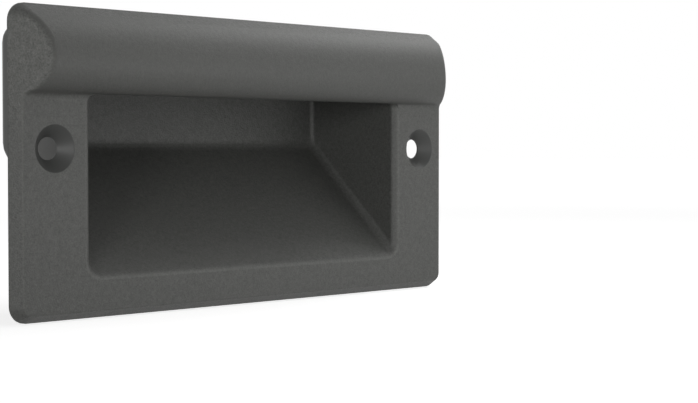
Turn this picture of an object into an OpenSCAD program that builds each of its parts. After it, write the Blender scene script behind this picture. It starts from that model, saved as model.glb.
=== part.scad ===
// Flush pull handle with a finger hood, moulded in one piece.
// Seen from the front, X runs to the right, Y runs into the panel and Z runs up.
// The origin lies midway between the two screw holes, on the rear face of the flange.

/* [Flange] */
// Width of the flange at the panel
flange_w = 154; // [150:1:190]
// Height of the screw line above the flange's lower edge
flange_below = 41; // [38:0.5:60]
// Height of the flange's upper edge above the screw line
flange_above = 34; // [32.5:0.5:40]
// Thickness of the flange
flange_t = 3.4; // [3.2:0.1:5]
// Lean of the bevelled outer edge away from the screw axis, in degrees
bevel_angle = 33; // [15:1:36]
// Radius of the outline's corners at the panel
outline_r = 4.4; // [3:0.1:5]
// Height of the square edge behind the bevel
edge_land = 0.5; // [0.3:0.1:1]
// Rounding of the edge between the bevel and the face
edge_r = 0.5; // [0.2:0.1:0.8]

/* [Hood] */
// How far the nose of the hood stands in front of the flange
hood_reach = 6.3; // [5:0.1:8]
// Height of the nose above the screw line
nose_z = 20.5; // [19.5:0.1:22]
// Radius of the hood's underside
under_r = 8; // [7:0.1:8.5]
// Radius of the hollow where the hood meets the flange
root_r = 1.8; // [1:0.1:2.5]
// Rounding of the hood's end edges at their upper ends
hood_edge_r = 2; // [0.8:0.1:2.5]

/* [Pocket] */
// Width of the opening
opening_w = 110.5; // [90:0.5:114]
// Height of the opening's lower edge below the screw line
opening_below = 31; // [24:0.5:33]
// Height of the hood's lip above the screw line
lip_z = 13.1; // [12.9:0.1:14]
// Depth of the hollow behind the panel
pocket_depth = 29.5; // [22:0.5:40]
// Height of the hollow's ceiling above the screw line
ceiling_z = 29.5; // [28:0.5:30]
// Height at which the finger ramp meets the back wall
ramp_top = 0.8; // [-6:0.1:4]
// Thickness of the shell's wall
wall = 2.5; // [1.8:0.1:2.8]
// Draft of the pocket's side walls, in degrees
side_draft = 1; // [0.5:0.1:2]
// Rounding of the opening's front edge
mouth_r = 2; // [0.8:0.1:2.3]
// Radius of the pocket's inner corners
corner_r = 1.3; // [0.8:0.1:2]
// Radius where the ramp meets the side walls
ramp_side_r = 2.8; // [1.3:0.1:3.3]
// Radius of the shell's outer corners
shell_corner_r = 3.1; // [2:0.1:3.8]
// Radius where the ramp meets the back wall
ramp_r = 4.5; // [2:0.1:6]
// Radius where the ceiling meets the back wall
ceiling_r = 3.5; // [2:0.1:5]

/* [Screw holes] */
// Distance between the two screw holes
hole_spacing = 132; // [127:0.5:134]
// Diameter of the screw's clearance hole
hole_d = 5.5; // [4.8:0.1:5.6]
// Diameter of the countersink at the flange's face
sink_d = 11.5; // [10:0.1:11.5]

/* [Hidden] */
fn_hole = 64;
colour = [0.30, 0.30, 0.29];

// Faces along each kind of round edge
nose_steps = 14;
under_steps = 10;
root_steps = 5;
round_steps = 5;
fine_steps = 3;

// Shares of the hood's end edge at which its root and its underside end
root_share = 0.1;
nose_share = 0.45;

lean = tan(bevel_angle);
// Share of its radius by which the rounding between the bevel and the face goes back into the flange
edge_share = 1 - sin(bevel_angle);
front_y = -flange_t;
nose_y = front_y - hood_reach;
// The hood's upper arc runs from the nose into the bevel of the upper edge.
top_r = (cos(bevel_angle) * (flange_above - nose_z) + sin(bevel_angle) * (nose_y + edge_land)) / (1 - sin(bevel_angle));
// Height of the hollow at the hood's root, from a circle that touches the flange and the underside
root_z = nose_z - sqrt(pow(under_r + root_r, 2) - pow(nose_y + under_r - front_y + root_r, 2));
root_angle = acos((nose_y + under_r - front_y + root_r) / (under_r + root_r));

// The ramp rises from the opening's lower edge to the back wall.
ramp_slope = (ramp_top + opening_below) / (pocket_depth + flange_t);
ramp_angle = atan(ramp_slope);
// The lip ends in a round nose halfway between its underside and its inner face.
lip_end_r = (nose_z - (under_r - wall) - lip_z) / 2;
lip_y = nose_y + under_r;
lip_end_y = lip_y + lip_end_r;
// Inner radii of the hood, one wall inside its underside and its upper arc
inner_under_r = under_r - wall;
inner_top_r = top_r - wall;
sink_depth = (sink_d - hole_d) / 2;

// Overlap of a cut with the open space beyond the part
clear = 1;
// Solid left between the pocket's side wall and the hollow behind each end of the hood
core_gap = 0.4;
// Small step between two hollows that open into each other, so that no two of their faces coincide
step = 0.15;
// Least distance between two sections of a skin
min_space = 0.03;

// A row of points on an arc, in the plane of the arc
function arc(centre, r, from, to, steps) =
    [for (i = [0:steps]) let (a = from + (to - from) * i / steps) centre + r * [cos(a), sin(a)]];

// How far an edge of radius r has fallen away at the distance d from its end
function fall(r, d) = d >= r ? 0 : r - sqrt(r * r - pow(r - d, 2));

// Distances from an end at which the sections of a rounded edge stand
function rounding_steps(r, steps) = [for (i = [0:steps]) r * (1 - cos(90 * i / steps))];

// Values in rising order, without those that stand too close to the one before
function sorted(v) =
    len(v) < 2
        ? v
        : concat(
            sorted([for (i = [1:len(v) - 1]) if (v[i] < v[0]) v[i]]),
            [v[0]],
            sorted([for (i = [1:len(v) - 1]) if (v[i] >= v[0]) v[i]])
        );
function spaced(v) = [for (i = [0:len(v) - 1]) if (i == 0 || v[i] - v[i - 1] > min_space) v[i]];

// Triangles that close a section, all from its point number hub
function fan(n, hub) =
    [for (i = [1:n - 2]) [hub, (hub + i) % n, (hub + i + 1) % n]];

// A closed skin over a row of sections with n points each, whose point number hub sees all the others
module skin(sections, hub = 0) {
    rows = len(sections);
    n = len(sections[0]);
    points = [for (s = sections) each s];
    sides = [
        for (i = [0:rows - 2])
            for (j = [0:n - 1])
                let (a = i * n + j, b = i * n + (j + 1) % n)
                    each [[a, b, b + n], [a, b + n, a + n]]
    ];
    first_cap = [for (t = fan(n, hub)) [t[2], t[1], t[0]]];
    last_cap = [for (t = fan(n, hub)) [for (j = t) (rows - 1) * n + j]];
    polyhedron(points = points, faces = concat(first_cap, sides, last_cap), convexity = 10);
}

// How far the bevel has drawn the outline in at the depth y
function bevel_in(y) = -lean * min(0, y + edge_land);

// Radius of the outline's corner at the depth y, which shrinks along the bevel
function corner_at(y) = max(edge_r, outline_r - bevel_in(y));

// Rounding of the hood's end edge, which grows from its root to its upper end
function end_r(share) = edge_r + (hood_edge_r - edge_r) * share;

// Front of the flange and the hood in section, from the lower edge to the upper one.
// Each row holds y and z, how far the point moves in y and in z for each millimetre by which the rounded end has
// fallen away there, and the radius of the rounding in y and in z.
function body_front() =
    let (
        low_z = -flange_below + bevel_in(front_y),
        edge_in = edge_r * tan((90 - bevel_angle) / 2),
        edge_c = [front_y + edge_r, low_z + edge_in],
        root_c = [front_y - root_r, root_z],
        under_c = [nose_y + under_r, nose_z],
        top_c = [nose_y + top_r, nose_z]
    )
    concat(
        [[-edge_land, -flange_below, 0, 1, edge_r, outline_r]],
        [
            for (i = [0:fine_steps])
                let (
                    k = i / fine_steps,
                    a = (90 - bevel_angle) * (1 - k),
                    p = edge_c - edge_r * [cos(a), sin(a)]
                )
                    [p.x, p.y, cos(a) - sin(bevel_angle), 1, edge_r, corner_at(p.x)]
        ],
        [
            for (i = [0:root_steps])
                let (
                    k = i / root_steps,
                    a = root_angle * k,
                    p = root_c + root_r * [cos(a), sin(a)],
                    share = edge_share + (1 - edge_share) * k,
                    r = end_r(root_share * k)
                )
                    [p.x, p.y, share * cos(a), share * sin(a), r, r]
        ],
        [
            for (i = [1:under_steps])
                let (
                    k = i / under_steps,
                    a = root_angle * (1 - k),
                    p = under_c - under_r * [cos(a), sin(a)],
                    r = end_r(root_share + (nose_share - root_share) * k)
                )
                    [p.x, p.y, cos(a), sin(a), r, r]
        ],
        [
            for (i = [1:nose_steps])
                let (
                    k = i / nose_steps,
                    a = (90 - bevel_angle) * k,
                    p = top_c - top_r * [cos(a), -sin(a)],
                    r = end_r(nose_share + (1 - nose_share) * k)
                )
                    [p.x, p.y, cos(90 * k), -sin(90 * k), r, max(r, corner_at(p.x))]
        ],
        [[-edge_land, flange_above, 0, -1, edge_r, outline_r]]
    );

// One section of the body, on the leaning surface that stands the distance d in from the end
function body_row(side, d) =
    let (
        front = [
            for (p = body_front())
                let (y = p[0] + p[2] * fall(p[4], d), z = p[1] + p[3] * fall(p[5], d))
                    [side * (flange_w / 2 - d - bevel_in(y)), y, z]
        ],
        x = side * (flange_w / 2 - d),
        low = front[0].z,
        high = front[len(front) - 1].z
    )
    concat(front, [[x, 0, high], [x, 0, low]]);

// The bevelled flange with the hood along its upper part
module flange_and_hood() {
    ends = spaced(sorted(concat(
        rounding_steps(edge_r, fine_steps),
        rounding_steps(hood_edge_r, round_steps),
        rounding_steps(outline_r, round_steps)
    )));
    skin(
        concat(
            [for (d = ends) body_row(-1, d)],
            [for (i = [len(ends) - 1:-1:0]) body_row(1, ends[i])]
        ),
        len(body_front()) - 1
    );
}

// Half the pocket's width at the depth y
function half_w(y) = opening_w / 2 - tan(side_draft) * (y - front_y);

// Height of the ramp at the depth y, moved outwards by the distance out
function ramp_z(y, out) = -opening_below + ramp_slope * (y - front_y) - out / cos(ramp_angle);

// Floor of the pocket: the ramp, and the arc that turns it up into the back wall
function floor_z(y, out) =
    let (
        yc = pocket_depth - ramp_r,
        zc = ramp_z(yc, 0) + ramp_r / cos(ramp_angle),
        r = ramp_r + out
    )
    y <= yc + r * sin(ramp_angle) ? ramp_z(y, out) : zc - sqrt(max(0, r * r - pow(y - yc, 2)));

// Ceiling of the pocket, and the arc that turns it down into the back wall
function roof_z(y, out) =
    let (yc = pocket_depth - ceiling_r, r = ceiling_r + out)
    y <= yc ? ceiling_z + out : ceiling_z - ceiling_r + sqrt(max(0, r * r - pow(y - yc, 2)));

// Half the width of the pocket, with the arc of radius r that turns its side into the back wall
function side_x(y, out, r) = half_w(y) + out - fall(r, pocket_depth + out - y);

// A rectangle across the pocket at the depth y, with upper corners of radius high_r and lower ones of radius low_r
function window(y, half, low, high, high_r, low_r) =
    [
        for (q = [[1, 1, 0], [-1, 1, 90], [-1, -1, 180], [1, -1, 270]])
            let (r = q.y > 0 ? high_r : low_r, c = [q.x * (half - r), q.y > 0 ? high - r : low + r])
                for (p = arc(c, r, q.z, q.z + 90, round_steps)) [p.x, y, p.y]
    ];

// Depths along an arc of radius r that ends at the depth end, from the angle given up to a right angle
function arc_depths(end, r, from) =
    [for (i = [0:round_steps]) end - r * (1 - sin(from + (90 - from) * i / round_steps))];

// Depths at which the ceiling, the ramp and the sides turn into the back wall
function back_depths(out, r) =
    let (end = pocket_depth + out)
    concat(
        arc_depths(end, ceiling_r + out, 0),
        arc_depths(end, ramp_r + out, ramp_angle),
        arc_depths(end, r, 0)
    );

// Outside of the pocket, which starts within the flange
module pocket_shell() {
    r = shell_corner_r;
    depths = spaced(sorted(concat([-2 * edge_land], back_depths(wall, r))));
    skin([
        for (y = depths) window(y, side_x(y, wall, r), floor_z(y, wall), roof_z(y, wall), r, r)
    ]);
}

// How far the rounding of the opening's front edge widens the opening at the depth y
function flare(y) = y <= front_y ? mouth_r : fall(mouth_r, y - front_y);

// Floor of the opening: the rounding of its front edge, and the ramp behind it
function mouth_floor(y) =
    let (zc = ramp_z(front_y + mouth_r, mouth_r))
    y <= front_y
        ? zc
        : y < front_y + mouth_r * (1 - sin(ramp_angle))
            ? zc + sqrt(pow(mouth_r, 2) - pow(front_y + mouth_r - y, 2))
            : floor_z(y, 0);

// Top of the opening: the lip's underside and its round end, and the ceiling behind it
function mouth_top(y) =
    y <= lip_end_y ? lip_z + fall(lip_end_r, max(0, lip_end_y - y)) : roof_z(y, 0);

// The opening, the ramp and the room behind them
module pocket_hollow() {
    // In front of the hood's underside, where the opening cuts it
    start = lip_y - sqrt(max(0, pow(under_r, 2) - pow(nose_z - lip_z, 2))) - clear;
    depths = spaced(sorted(concat(
        [start],
        [for (d = rounding_steps(mouth_r, round_steps)) front_y + d],
        arc_depths(lip_end_y, lip_end_r, 0),
        [lip_end_y + step / 2],
        back_depths(0, corner_r)
    )));
    skin([
        for (y = depths)
            window(
                y,
                side_x(y, 0, corner_r) + flare(y),
                mouth_floor(y),
                mouth_top(y),
                corner_r + flare(y),
                ramp_side_r + flare(y)
            )
    ]);
}

// Inner side of the hood in section, from its underside up to the ceiling.
// Each row holds y and z, and the direction in which the point moves where the hollow's end is rounded.
function hood_inside() =
    let (
        high = ceiling_z - step,
        top_angle = asin(min(1, (high - nose_z) / inner_top_r)),
        under_c = [lip_y, nose_z],
        top_c = [nose_y + top_r, nose_z]
    )
    concat(
        [
            for (i = [0:root_steps])
                let (a = 90 * (1 - i / root_steps), p = under_c - inner_under_r * [cos(a), sin(a)])
                    [p.x, p.y, cos(a), sin(a)]
        ],
        [
            for (i = [1:under_steps])
                let (a = top_angle * i / under_steps, p = top_c - inner_top_r * [cos(a), -sin(a)])
                    [p.x, p.y, cos(a), -sin(a)]
        ],
        [[clear, high, 0, -1]]
    );

// Room inside the hood, above and behind the lip
module hood_hollow() {
    lip_c = [lip_y, lip_z + lip_end_r];
    lip_end = [
        for (i = [1:fine_steps])
            let (a = 90 * (i - 0.6) / fine_steps, p = lip_c + lip_end_r * [cos(a), sin(a)])
                [p.x, p.y, 0, 0]
    ];
    outline = concat([[clear, lip_z, 0, 0], [lip_end_y + step, lip_z, 0, 0]], lip_end, hood_inside());
    ends = rounding_steps(corner_r, fine_steps);
    function row(side, d) = [
        for (p = outline)
            let (y = p[0] + p[2] * fall(corner_r, d), z = p[1] + p[3] * fall(corner_r, d))
                [side * (half_w(y) - step - d), y, z]
    ];
    skin(
        concat([for (d = ends) row(-1, d)], [for (i = [len(ends) - 1:-1:0]) row(1, ends[i])]),
        len(outline) - 1
    );
}

// Room behind one end of the hood, which keeps its walls as thick as the others
module hood_end_hollow(side) {
    outline = concat([[clear, nose_z - inner_under_r]], hood_inside());
    inner = [for (p = outline) [side * (half_w(p[0]) + wall + core_gap), p[0], p[1]]];
    outer = [
        for (p = outline)
            [side * (flange_w / 2 + lean * (p[0] + edge_land) - wall / cos(bevel_angle)), p[0], p[1]]
    ];
    skin(side > 0 ? [inner, outer] : [outer, inner]);
}

// A countersunk screw hole through the flange
module screw_hole(side) {
    translate([side * hole_spacing / 2, 0, 0])
        rotate([90, 0, 0]) {
            translate([0, 0, -clear])
                cylinder(d = hole_d, h = flange_t + 2 * clear, $fn = fn_hole);
            translate([0, 0, flange_t - sink_depth])
                cylinder(d1 = hole_d, d2 = sink_d + 2 * clear, h = sink_depth + clear, $fn = fn_hole);
        }
}

module shell_handle() {
    color(colour)
        difference() {
            union() {
                flange_and_hood();
                pocket_shell();
            }
            pocket_hollow();
            hood_hollow();
            for (side = [-1, 1]) {
                hood_end_hollow(side);
                screw_hole(side);
            }
        }
}

shell_handle();
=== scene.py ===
# %% [markdown]
# A shell handle is let into a panel, so that fingers can pull it from behind a rounded hood. It is
# one plastic moulding: a flange with a bevelled edge, a hood along its upper part and a pocket behind
# the opening. The frame brings its finished shape in. This lesson gives that shape soft rims, a
# moulded finish and a studio.

# %% The frame and its box
import math
import bmesh
import bpy
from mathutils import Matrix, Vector


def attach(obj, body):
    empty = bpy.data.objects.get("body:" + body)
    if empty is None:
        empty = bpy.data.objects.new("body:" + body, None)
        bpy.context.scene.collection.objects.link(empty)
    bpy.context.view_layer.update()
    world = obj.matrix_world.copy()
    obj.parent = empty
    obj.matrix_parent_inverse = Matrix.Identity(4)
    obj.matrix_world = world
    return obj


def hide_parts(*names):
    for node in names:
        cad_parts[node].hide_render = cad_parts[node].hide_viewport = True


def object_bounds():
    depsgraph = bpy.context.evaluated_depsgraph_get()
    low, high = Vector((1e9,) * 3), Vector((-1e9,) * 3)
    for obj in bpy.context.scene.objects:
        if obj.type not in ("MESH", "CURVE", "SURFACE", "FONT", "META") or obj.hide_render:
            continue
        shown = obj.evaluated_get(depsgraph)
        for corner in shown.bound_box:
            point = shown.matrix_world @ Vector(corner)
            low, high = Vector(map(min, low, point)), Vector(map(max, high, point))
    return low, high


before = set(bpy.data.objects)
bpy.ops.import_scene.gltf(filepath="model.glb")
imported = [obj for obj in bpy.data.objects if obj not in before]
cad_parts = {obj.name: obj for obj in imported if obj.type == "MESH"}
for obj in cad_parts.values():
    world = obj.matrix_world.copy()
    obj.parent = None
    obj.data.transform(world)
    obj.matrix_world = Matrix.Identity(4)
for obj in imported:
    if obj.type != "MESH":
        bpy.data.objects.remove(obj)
cad_low, cad_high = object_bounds()
moulding_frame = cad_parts["shell_handle"]
cad_size = cad_high - cad_low
print("the handle measures", [round(1000 * side, 1) for side in cad_size], "mm")

# %% [markdown]
# The picture is taken from the left of the handle, at almost the height of its screws, so that the
# pocket is seen across its width. The place comes from the handle's own straight edges. An empty to
# track would do as well, but plain angles keep the horizon level and can be read off: a turn, and a
# slight look downwards, both in radians.

# %% The camera
camera_place = (-0.3028718, -0.316812, -0.0004022)
camera_turn = 0.8238
camera_fall = 0.0311
lens_length = 84.876
camera_data = bpy.data.cameras.new("camera")
camera_data.sensor_fit = "HORIZONTAL"
camera_data.sensor_width = 36
camera_data.lens = lens_length
camera = bpy.data.objects.new("camera", camera_data)
camera.location = camera_place
camera.rotation_euler = (math.pi / 2 - camera_fall, 0, -camera_turn)
bpy.context.scene.collection.objects.link(camera)
bpy.context.scene.camera = camera
bpy.context.scene.view_settings.view_transform = "Standard"
print("the camera stands", round(camera.location.length, 3), "m from the middle of the screws")

# %% [markdown]
# A product like this is shown in a white light tent. The world is that tent: it is white to the
# camera and in reflections, and a plain grey level as light. A picture of a studio could light it
# too, but one even colour leaves the lamps in charge of the shading. Two helpers wire its nodes, and
# those of the materials further down: one joins two values, the other turns one range of values
# into another and stops at both ends.

# %% The white surroundings
def add_math(tree, operation, first, second):
    node = tree.nodes.new("ShaderNodeMath")
    node.operation = operation
    for socket, value in zip(node.inputs, (first, second)):
        if isinstance(value, (int, float)):
            socket.default_value = value
        else:
            tree.links.new(value, socket)
    return node.outputs["Value"]


def add_range(tree, value, start, full, at_start=0, at_full=1):
    node = tree.nodes.new("ShaderNodeMapRange")
    node.inputs["From Min"].default_value = start
    node.inputs["From Max"].default_value = full
    node.inputs["To Min"].default_value = at_start
    node.inputs["To Max"].default_value = at_full
    tree.links.new(value, node.inputs["Value"])
    return node.outputs["Result"]


tent_light = 0.15
world = bpy.data.worlds.new("tent")
world.use_nodes = True
bpy.context.scene.world = world
tree = world.node_tree
tree.nodes.clear()
rays = tree.nodes.new("ShaderNodeLightPath").outputs
mirrored = add_math(tree, "MAXIMUM", rays["Is Glossy Ray"], rays["Is Transmission Ray"])
shown = add_math(tree, "MAXIMUM", rays["Is Camera Ray"], mirrored)
tent = tree.nodes.new("ShaderNodeBackground")
tent.inputs["Color"].default_value = (1, 1, 1, 1)
tree.links.new(add_range(tree, shown, 0, 1, tent_light, 1), tent.inputs["Strength"])
world_output = tree.nodes.new("ShaderNodeOutputWorld")
tree.links.new(tent.outputs["Background"], world_output.inputs["Surface"])
print("the tent gives light at", tent_light)

# %% [markdown]
# The handle stands on its lower edge on a white board, a flat grid of one face. The board is let
# down by a fifth of a millimetre, so that the two never touch. A curved backdrop would hide the
# horizon too, but here the tent behind is already white.

# %% The white board
board_level = cad_low.z - 0.0002
board_reach = 6
board_mesh = bpy.data.meshes.new("board")
board_shape = bmesh.new()
bmesh.ops.create_grid(board_shape, x_segments=1, y_segments=1, size=board_reach)
bmesh.ops.translate(board_shape, verts=board_shape.verts, vec=(0, 0, board_level))
board_shape.to_mesh(board_mesh)
board_shape.free()
board = bpy.data.objects.new("board", board_mesh)
bpy.context.scene.collection.objects.link(board)
print("the board lies at", round(1000 * board_level, 2), "mm")

# %% [markdown]
# To the camera and in reflections the board glows a little, so that it runs into the white behind it
# and still keeps the handle's soft shadow. Lifting the whole light instead would bleach the handle.
# The glow grows away from the handle, where less of the lamps' light arrives.

# %% The paint and the glow of the board
near_glow = 0.74
far_glow = 0.9
near_distance = 0.15
far_distance = 0.9
white_board = bpy.data.materials.new("white board")
white_board.use_nodes = True
tree = white_board.node_tree
tree.nodes.clear()
rays = tree.nodes.new("ShaderNodeLightPath").outputs
shown = add_math(tree, "MAXIMUM", rays["Is Camera Ray"], rays["Is Glossy Ray"])
place = tree.nodes.new("ShaderNodeTexCoord")
away = tree.nodes.new("ShaderNodeVectorMath")
away.operation = "LENGTH"
tree.links.new(place.outputs["Object"], away.inputs[0])
distance = away.outputs["Value"]
glow_level = add_range(tree, distance, near_distance, far_distance, near_glow, far_glow)
paint = tree.nodes.new("ShaderNodeBsdfDiffuse")
paint.inputs["Color"].default_value = (0.8, 0.8, 0.8, 1)
glow = tree.nodes.new("ShaderNodeEmission")
glow.inputs["Color"].default_value = (1, 1, 1, 1)
tree.links.new(add_math(tree, "MULTIPLY", shown, glow_level), glow.inputs["Strength"])
both = tree.nodes.new("ShaderNodeAddShader")
tree.links.new(paint.outputs["BSDF"], both.inputs[0])
tree.links.new(glow.outputs["Emission"], both.inputs[1])
board_output = tree.nodes.new("ShaderNodeOutputMaterial")
tree.links.new(both.outputs["Shader"], board_output.inputs["Surface"])
board_mesh.materials.append(white_board)
print("the board glows from", near_glow, "near the handle to", far_glow, "far from it")

# %% [markdown]
# Four soft lamps stand round the handle. The one on the left is strongest: it lights the bevel and
# the hood's end, and skims over the face so that its grain shows. One above the right end brightens
# the top of the hood, and being in line with the panel it leaves the ramp dark. Two weaker ones fill
# from the right and from low in front. Sun lamps would be simpler, but only a lamp with a size gives
# the soft borders of a studio's shadows.

# %% The lamps
def soft_lamp(name, place, aim, width, height, power):
    lamp_data = bpy.data.lights.new(name, "AREA")
    lamp_data.shape = "RECTANGLE"
    lamp_data.size = width
    lamp_data.size_y = height
    lamp_data.energy = power
    lamp = bpy.data.objects.new(name, lamp_data)
    lamp.location = place
    way = Vector(aim) - Vector(place)
    lamp.rotation_euler = way.to_track_quat("-Z", "Y").to_euler()
    bpy.context.scene.collection.objects.link(lamp)
    print(name, "stands", round(way.length, 2), "m away")
    return lamp


middle = (cad_low + cad_high) / 2
right_of_middle = (0.03, 0, 0)
soft_lamp("left lamp", (-0.7, -0.35, 0.03), middle, width=0.2, height=0.2, power=2.44)
soft_lamp("upper right lamp", (0.3, 0.0, 0.3), middle, width=0.2, height=0.2, power=0.53)
soft_lamp("right lamp", (0.32, -0.32, 0.12), middle, width=0.3, height=0.3, power=0.31)
soft_lamp("low lamp", (0.05, -0.2, -0.02), right_of_middle, width=0.2, height=0.03, power=0.1)

# %% [markdown]
# The moulding's own shape is right, but it comes as loose triangles with hard edges. A copy of it is
# merged, and flat areas become single faces, so that light runs evenly over them. Rebuilding it from
# its drawing would give the same shape with more work.

# %% The moulding, merged and cleaned
same_place = 1e-6
flat_turn = math.radians(0.3)


def merged_copy(source, name):
    shape = bmesh.new()
    shape.from_mesh(source.data)
    bmesh.ops.remove_doubles(shape, verts=shape.verts, dist=same_place)
    bmesh.ops.dissolve_limit(shape, angle_limit=flat_turn, verts=shape.verts, edges=shape.edges)
    open_edges = [edge for edge in shape.edges if not edge.is_manifold]
    print(name, "has", len(shape.faces), "faces and", len(open_edges), "open edges")
    return shape


moulding_shape = merged_copy(moulding_frame, "moulding")

# %% [markdown]
# No moulded edge is quite sharp: the plastic can't fill a perfect corner, and the tool's own edges
# wear. The rims of the countersinks are the crispest edges in front, and get a bevel of a sixth of a
# millimetre. It is cut into the mesh here, because a Bevel modifier would also take the many fine
# edges of the rounds.

# %% The rims of the countersinks
screw_x = 0.066
sink_radius = 0.00575
rim_margin = 0.0001
rim_bevel_width = 0.00016


def from_screw(point):
    return min(math.hypot(point.x - side * screw_x, point.z) for side in (-1, 1))


def on_rim(edge):
    return all(abs(from_screw(corner.co) - sink_radius) < rim_margin for corner in edge.verts)


rims = [edge for edge in moulding_shape.edges if on_rim(edge)]
rim_bevel = bmesh.ops.bevel(
    moulding_shape,
    geom=rims,
    offset=rim_bevel_width,
    offset_type="OFFSET",
    segments=2,
    profile=0.5,
    affect="EDGES",
    clamp_overlap=True,
    material=-1,
)
print(len(rims), "rim edges became", len(rim_bevel["faces"]), "faces")

# %% [markdown]
# The mould gives its part three finishes. The cavity is spark-eroded, and leaves a matt grain on all
# that is seen from the front. The pins that form the countersinks are polished. The core, which forms
# the rear, is only milled and stoned. A painted mask would need a map, but the finishes change at
# real edges, so each face takes one. The stoned finish starts on the flat rear of the flange and
# spreads from face to face, until it meets the flange's thin outer edge or the polished holes.

# %% Which face takes which finish
grained, polished, stoned = 0, 1, 2
flange_side = 0.0745
flange_top = 0.0325
flange_bottom = -0.0375
edge_depth = -0.0006
at_panel = 0.00001
faces_along = 0.99
faces_across = 0.1


def in_sink(face):
    centre = face.calc_center_median()
    return from_screw(centre) < sink_radius and abs(face.normal.y) < faces_along


def outer_edge(face):
    centre = face.calc_center_median()
    outside = abs(centre.x) > flange_side or centre.z > flange_top or centre.z < flange_bottom
    return outside and centre.y > edge_depth and abs(face.normal.y) < faces_across


for face in moulding_shape.faces:
    face.smooth = True
    face.material_index = polished if in_sink(face) else grained
flat_rear = [face for face in moulding_shape.faces if face.normal.y > faces_along]
waiting = [face for face in flat_rear if abs(face.calc_center_median().y) < at_panel]
for face in waiting:
    face.material_index = stoned
while waiting:
    face = waiting.pop()
    for edge in face.edges:
        for neighbour in edge.link_faces:
            if neighbour.material_index == grained and not outer_edge(neighbour):
                neighbour.material_index = stoned
                waiting.append(neighbour)
finishes = [face.material_index for face in moulding_shape.faces]
counts = [finishes.count(finish) for finish in (grained, polished, stoned)]
print("grained, polished and stoned faces:", counts)

# %% [markdown]
# The grain will differ from place to place, so two places are measured on the shape. One is how far
# in front the flange's face lies. The other is the leaning plane of the hood's ends, given by where
# it would cross the panel and by how much it comes inwards per metre. Numbers from the drawing would
# do too, but these ones follow the shape when it changes.

# %% The flange's face and the hood's ends
straight_ahead = -0.9999
half_turned = -0.5
front_faces = [face for face in moulding_shape.faces if face.normal.y < straight_ahead]
face_y = min(face.calc_center_median().y for face in front_faces)
left_faces = [face for face in moulding_shape.faces if face.normal.x < half_turned]
end_faces = [face for face in left_faces if face.normal.y < half_turned]
hood_end = max(end_faces, key=lambda face: face.calc_area())
end_lean = hood_end.normal.y / hood_end.normal.x
end_point = hood_end.calc_center_median()
end_x = abs(end_point.x) - end_point.y * end_lean
print("the flange's face lies at", round(1000 * face_y, 2), "mm")
print("the hood's ends lean by", round(math.degrees(math.atan(end_lean)), 1), "degrees")

# %% [markdown]
# Every face is shaded smooth, so that the rounds look round. Where two faces meet at a real crease,
# the shading has to break, so the steeper edges are marked sharp. Splitting them would break the
# shading too, but it would open the mesh.

# %% Sharp and smooth edges
crisp_turn = math.radians(32)
crisp_edges = [edge for edge in moulding_shape.edges if edge.calc_face_angle() > crisp_turn]
for edge in crisp_edges:
    edge.smooth = False
print(len(crisp_edges), "edges stay sharp")

# %% [markdown]
# The dressed copy becomes one piece. It stands for the frame's own solid and rides on the same body.
# A
# Weighted Normal modifier lets the large faces lead the shading, so that they look flat right up to
# the fine faces of a round. Without it, they would seem to bulge.

# %% The moulding as a piece
moulding_mesh = bpy.data.meshes.new("moulding")
moulding_shape.to_mesh(moulding_mesh)
moulding_shape.free()
moulding = bpy.data.objects.new("moulding", moulding_mesh)
bpy.context.scene.collection.objects.link(moulding)
even_light = moulding.modifiers.new("even light", "WEIGHTED_NORMAL")
even_light.keep_sharp = True
even_light.weight = 60
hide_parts("shell_handle")
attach(moulding, "root")
print(moulding.name, "has", len(moulding_mesh.polygons), "faces")

# %% [markdown]
# Spark erosion leaves overlapping craters in the mould's steel, up to four tenths of a millimetre
# wide. On the plastic they show as a matt grain: the floors of the dents are a little darker than
# their rims. All three finishes have some grain, so it is one node group, which each material uses
# with its own values. A picture of real grain would show more, but it would repeat.

# %% The group, its values and its results
def value_socket(group, name, usual, highest):
    socket = group.interface.new_socket(name, in_out="INPUT", socket_type="NodeSocketFloat")
    socket.default_value = usual
    socket.max_value = highest
    return socket


grain = bpy.data.node_groups.new("moulded grain", "ShaderNodeTree")
grain.interface.new_socket("Place", in_out="INPUT", socket_type="NodeSocketVector")
value_socket(grain, "Craters per metre", 2600, 20000)
value_socket(grain, "Tone spread", 0.2, 2)
value_socket(grain, "Cloud spread", 0.05, 1)
# this value paints a highlight along the edges of the flange's face
value_socket(grain, "Edge lift", 0, 1)
# this value paints light on the hood's ends, stronger towards their top
value_socket(grain, "End lift", 0, 1)
grain.interface.new_socket("Relief", in_out="OUTPUT", socket_type="NodeSocketFloat")
grain.interface.new_socket("Tone", in_out="OUTPUT", socket_type="NodeSocketFloat")
group_in = grain.nodes.new("NodeGroupInput").outputs
group_out = grain.nodes.new("NodeGroupOutput").inputs
print("the group takes", [socket.name for socket in group_in if socket.name])

# %% [markdown]
# Three noises of different sizes make the grain: a fine one for the craters, a coarser one for groups
# of them, and broad clouds from the flow of the plastic. One noise with more detail would be shorter,
# but then the craters and the clouds couldn't be set apart.

# %% Craters, clusters and clouds
clusters_per_crater = 0.37
clouds_per_metre = 60
crater_share = 0.65
cluster_share = 0.35


def noise_in_group(detail):
    node = grain.nodes.new("ShaderNodeTexNoise")
    node.inputs["Detail"].default_value = detail
    grain.links.new(group_in["Place"], node.inputs["Vector"])
    return node


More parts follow.
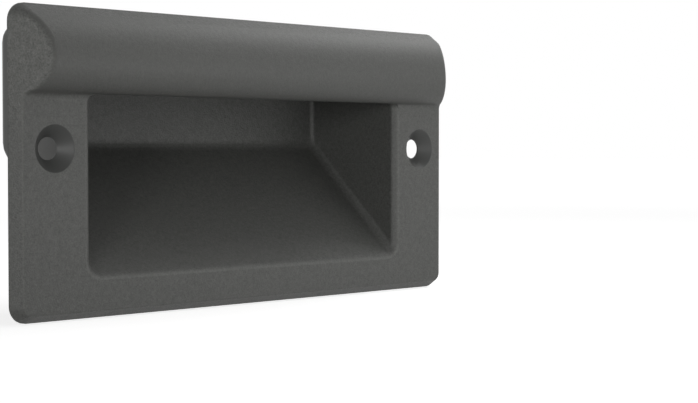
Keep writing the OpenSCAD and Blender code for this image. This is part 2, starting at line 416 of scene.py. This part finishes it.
craters = noise_in_group(1.5)
grain.links.new(group_in["Craters per metre"], craters.inputs["Scale"])
clusters = noise_in_group(1)
clusters_per_metre = add_math(grain, "MULTIPLY", group_in["Craters per metre"], clusters_per_crater)
grain.links.new(clusters_per_metre, clusters.inputs["Scale"])
clouds = noise_in_group(2)
clouds.inputs["Scale"].default_value = clouds_per_metre
fine = add_math(grain, "MULTIPLY", craters.outputs["Fac"], crater_share)
coarse = add_math(grain, "MULTIPLY", clusters.outputs["Fac"], cluster_share)
grain_height = add_math(grain, "SUBTRACT", add_math(grain, "ADD", fine, coarse), 0.5)
print("the craters give", crater_share, "of the grain, and their groups", cluster_share)

# %% [markdown]
# On the real handle the grain shows most on the hood's ends and least on the hood itself. Each place
# is told by its coordinates: an end lies on the leaning plane and above the flange's lower part, and
# the hood lies in front of the flange's face. More materials could do this as well, but they would
# meet in a hard line, where these ranges run softly into each other.

# %% Where the grain is stronger or weaker
usual_strength = 1.05
more_on_ends = 0.9
less_on_hood = 0.5
end_depth = 0.0008
end_skin = 0.0001
end_foot = 0.004
end_shoulder = 0.018
hood_start = 0.0002
hood_full = 0.0015
axes_node = grain.nodes.new("ShaderNodeSeparateXYZ")
grain.links.new(group_in["Place"], axes_node.inputs["Vector"])
axes = axes_node.outputs
from_middle = add_math(grain, "ABSOLUTE", axes["X"], 0)
lean_here = add_math(grain, "MULTIPLY", axes["Y"], end_lean)
towards_end = add_math(grain, "SUBTRACT", from_middle, lean_here)
on_end = add_range(grain, towards_end, end_x - end_depth, end_x - end_skin)
up_the_end = add_range(grain, axes["Z"], end_foot, end_shoulder)
# on_hood_end also masks the painted light on the hood's ends, which grows towards their top
on_hood_end = add_math(grain, "MULTIPLY", on_end, up_the_end)
in_front = add_range(grain, axes["Y"], face_y - hood_start, face_y - hood_full)
on_hood = add_math(grain, "MULTIPLY", in_front, add_math(grain, "SUBTRACT", 1, on_end))
added = add_math(grain, "ADD", usual_strength, add_math(grain, "MULTIPLY", on_hood_end, more_on_ends))
strength = add_math(grain, "SUBTRACT", added, add_math(grain, "MULTIPLY", on_hood, less_on_hood))
grain_change = add_math(grain, "MULTIPLY", grain_height, strength)
print("the grain's strength on an end is", round(usual_strength + more_on_ends, 2))

# %% [markdown]
# A fine line along the edges of the flange's face is painted a little lighter: a painted highlight,
# where the rounding into the bevel catches the light. It lies just behind the face, where that
# rounding starts, and it stops below the hood. The Geometry node's pointiness would find edges by
# itself, but it follows the mesh's density, so it would find the rounds too.

# %% The painted highlight on the edges of the flange's face
highlight_start = 0.00001
highlight_full = 0.00004
highlight_fades = 0.00012
highlight_ends = 0.0004
below_hood_start = 0.014
below_hood_full = 0.012
behind_face = add_math(grain, "SUBTRACT", axes["Y"], face_y)
past_face = add_range(grain, behind_face, highlight_start, highlight_full)
near_face = add_range(grain, behind_face, highlight_ends, highlight_fades)
below_hood = add_range(grain, axes["Z"], below_hood_start, below_hood_full)
painted_highlight = add_math(grain, "MULTIPLY", add_math(grain, "MULTIPLY", past_face, near_face), below_hood)
print("the rubbed line is", round(1000 * (highlight_ends - highlight_start), 2), "mm deep")

# %% [markdown]
# The group has two results. The relief is the grain's height, with the middle at a half. The tone is
# a factor round one that a material's colour is multiplied by. Each part of it has its own value, so
# that a finish can have less of the grain, or none of the painted highlight on the face's edges and
# the painted light on the hood's ends.

# %% The relief and the tone
grain.links.new(add_math(grain, "ADD", grain_change, 0.5), group_out["Relief"])
grain_tone = add_math(grain, "MULTIPLY", grain_change, group_in["Tone spread"])
cloud_change = add_math(grain, "SUBTRACT", clouds.outputs["Fac"], 0.5)
cloud_tone = add_math(grain, "MULTIPLY", cloud_change, group_in["Cloud spread"])
plain_tone = add_math(grain, "ADD", add_math(grain, "ADD", grain_tone, cloud_tone), 1)
# painted highlight: the fine line along the face's edges is made lighter in colour
edge_highlight_tone = add_math(grain, "MULTIPLY", painted_highlight, group_in["Edge lift"])
# painted light: the hood's ends are made lighter in colour, more towards their top
painted_end_tone = add_math(grain, "MULTIPLY", on_hood_end, group_in["End lift"])
painted_light_tone = add_math(grain, "ADD", edge_highlight_tone, painted_end_tone)
grain.links.new(add_math(grain, "ADD", plain_tone, painted_light_tone), group_out["Tone"])
print("the group gives", [socket.name for socket in group_out if socket.name])

# %% [markdown]
# The three finishes are one plastic, so they differ only in how rough and how dark they look. A
# grained face scatters light at its surface and looks greyer. The smoother ones show more of the
# black in the plastic, and mirror their surroundings more sharply. Each takes its roughness from the
# grain too, so that no highlight is perfectly even: the rims of the dents are the smoothest.

# %% The anthracite plastic
def moulded_plastic(name, colour, roughness, depth, **grain_values):
    plastic = bpy.data.materials.new(name)
    plastic.use_nodes = True
    tree = plastic.node_tree
    surface = tree.nodes["Principled BSDF"]
    place = tree.nodes.new("ShaderNodeTexCoord")
    texture = tree.nodes.new("ShaderNodeGroup")
    texture.node_tree = grain
    for value_name, value in grain_values.items():
        texture.inputs[value_name.replace("_", " ").capitalize()].default_value = value
    tree.links.new(place.outputs["Object"], texture.inputs["Place"])
    tint = tree.nodes.new("ShaderNodeVectorMath")
    tint.operation = "SCALE"
    tint.inputs[0].default_value = colour
    tree.links.new(texture.outputs["Tone"], tint.inputs["Scale"])
    tree.links.new(tint.outputs["Vector"], surface.inputs["Base Color"])
    on_rims, in_dents = roughness
    gloss = add_range(tree, texture.outputs["Relief"], 0, 1, in_dents, on_rims)
    tree.links.new(gloss, surface.inputs["Roughness"])
    relief = tree.nodes.new("ShaderNodeBump")
    relief.inputs["Distance"].default_value = depth
    tree.links.new(texture.outputs["Relief"], relief.inputs["Height"])
    tree.links.new(relief.outputs["Normal"], surface.inputs["Normal"])
    moulding_mesh.materials.append(plastic)
    print(name, "has craters", round(1000 / grain_values["craters_per_metre"], 2), "mm wide")
    return plastic


# %% [markdown]
# The materials are made in the order of the faces' numbers: grained, polished, stoned. The relief's
# depth is in metres. The grained finish is by far the deepest, and the rear's is a plain guess.

# %% Its three finishes
moulded_plastic(
    "spark-eroded face",
    colour=(0.052, 0.053, 0.049),
    roughness=(0.5, 0.66),
    depth=0.00013,
    craters_per_metre=2600,
    tone_spread=1.7,
    cloud_spread=0.12,
    # painted highlight on the face's edges, and painted light on the hood's ends
    edge_lift=0.35,
    end_lift=0.4,
)
moulded_plastic(
    "polished countersink",
    colour=(0.028, 0.029, 0.027),
    roughness=(0.48, 0.54),
    depth=0.000004,
    craters_per_metre=5200,
    tone_spread=0.15,
    cloud_spread=0.05,
)
moulded_plastic(
    "stoned rear",
    colour=(0.045, 0.046, 0.043),
    roughness=(0.4, 0.5),
    depth=0.000015,
    craters_per_metre=5200,
    tone_spread=0.3,
    cloud_spread=0.12,
)
